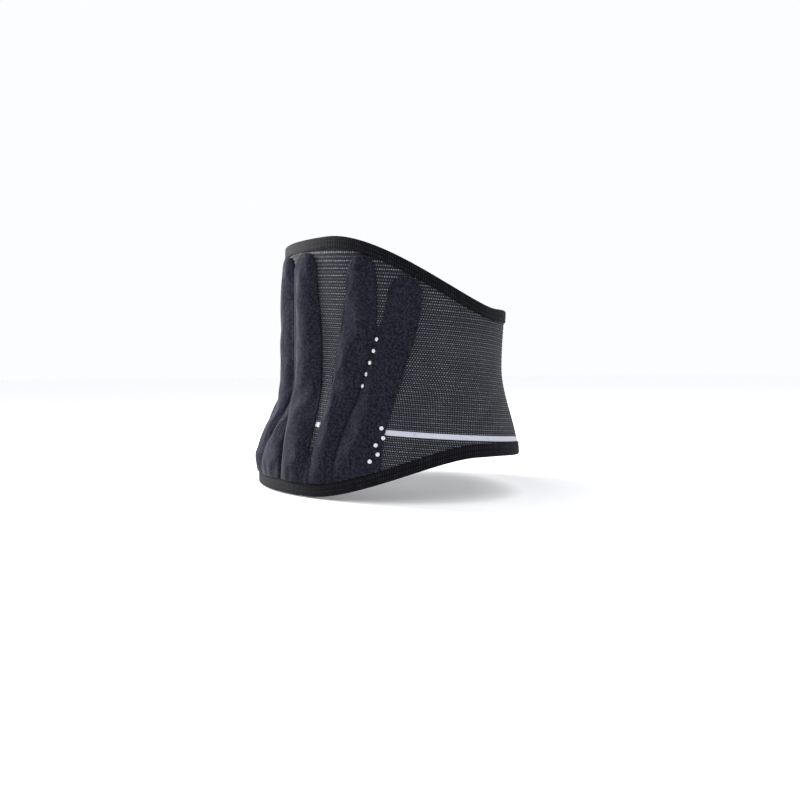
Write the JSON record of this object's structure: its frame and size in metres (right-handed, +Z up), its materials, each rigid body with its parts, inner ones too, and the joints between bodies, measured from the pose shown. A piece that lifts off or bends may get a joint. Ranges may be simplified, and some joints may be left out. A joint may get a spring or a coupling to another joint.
{
  "type": "lumbar support belt",
  "caption": "Contoured elastic lumbar belt with padded stay ridges fanning over the back, wide front wings, a hook closure flap and a removable inner lumbar pad.",
  "frame": {"origin": "centre of the wearer's waist at its narrowest height, on the belt's own axis", "axes": "+Z up along the spine, +Y towards the spine, -Y towards the front closure, -X towards the wearer's right side"},
  "size_m": [0.3384, 0.26, 0.248],
  "materials": {
    "knit": "elastic knit, matt",
    "edge_tape": "ribbed tape, matt",
    "velour": "short pile",
    "foam": "open-cell foam",
    "spring_steel": "satin",
    "tip_plastic": "matt",
    "silicone": "satin",
    "reflective": "retroreflective, satin",
    "loop_fabric": "brushed loop",
    "hook_plastic": "hook tape, matt",
    "label": "satin ribbon",
    "pad_velour": "short pile",
    "pad_foam": "elastomer foam",
    "nub_rubber": "matt"
  },
  "bodies": {
    "back": {"back_knit": "knit", "back_top_binding": "edge_tape", "back_bottom_binding": "edge_tape", "back_stripe": "reflective", "cover_inner_right": "velour", "cover_mid_right": "velour", "cover_outer_right": "velour", "cover_inner_left": "velour", "cover_mid_left": "velour", "cover_outer_left": "velour", "sacral_cover": "velour", "foam_inner_right": "foam", "foam_mid_right": "foam", "foam_outer_right": "foam", "foam_inner_left": "foam", "foam_mid_left": "foam", "foam_outer_left": "foam", "sacral_foam": "foam", "stay_inner_right": "spring_steel", "stay_mid_right": "spring_steel", "stay_outer_right": "spring_steel", "stay_inner_left": "spring_steel", "stay_mid_left": "spring_steel", "stay_outer_left": "spring_steel", "stay_tips": "tip_plastic", "dots_right": "silicone", "dots_left": "silicone", "pad_loop_field": "loop_fabric", "care_label": "label"},
    "right_wing": {"right_knit": "knit", "right_top_binding": "edge_tape", "right_bottom_binding": "edge_tape", "right_stripe": "reflective"},
    "left_wing": {"left_knit": "knit", "left_top_binding": "edge_tape", "left_bottom_binding": "edge_tape", "left_end_binding": "edge_tape", "left_stripe": "reflective", "left_loop_patch": "loop_fabric", "left_finger_pocket": "edge_tape"},
    "flap": {"flap_panel": "knit", "flap_binding": "edge_tape", "flap_hook": "hook_plastic", "flap_finger_pocket": "edge_tape", "flap_seam_tape": "edge_tape"},
    "lumbar_pad": {"lumbar_cover": "pad_velour", "lumbar_core": "pad_foam", "lumbar_nubs": "nub_rubber", "lumbar_hooks": "hook_plastic"}
  },
  "joints": [
    {"name": "right_wing_swing", "type": "hinge", "parent": "back", "child": "right_wing", "pos_m": [-0.174, -0.0135, 0], "axis": [0, 0, -1], "range_deg": [0, 50]},
    {"name": "left_wing_swing", "type": "hinge", "parent": "back", "child": "left_wing", "pos_m": [0.174, -0.0135, 0], "axis": [0, 0, 1], "range_deg": [0, 50]},
    {"name": "flap_peel", "type": "hinge", "parent": "right_wing", "child": "flap", "pos_m": [0, -0.1215, 0], "axis": [0, 0, -1], "range_deg": [0, 80]},
    {"name": "lumbar_pad_lift", "type": "slide", "parent": "back", "child": "lumbar_pad", "axis": [0, -1, 0], "range_m": [0, 0.04]}
  ],
  "couplings": [
    {"joint": "left_wing_swing", "follows": "right_wing_swing", "ratio": 1}
  ]
}
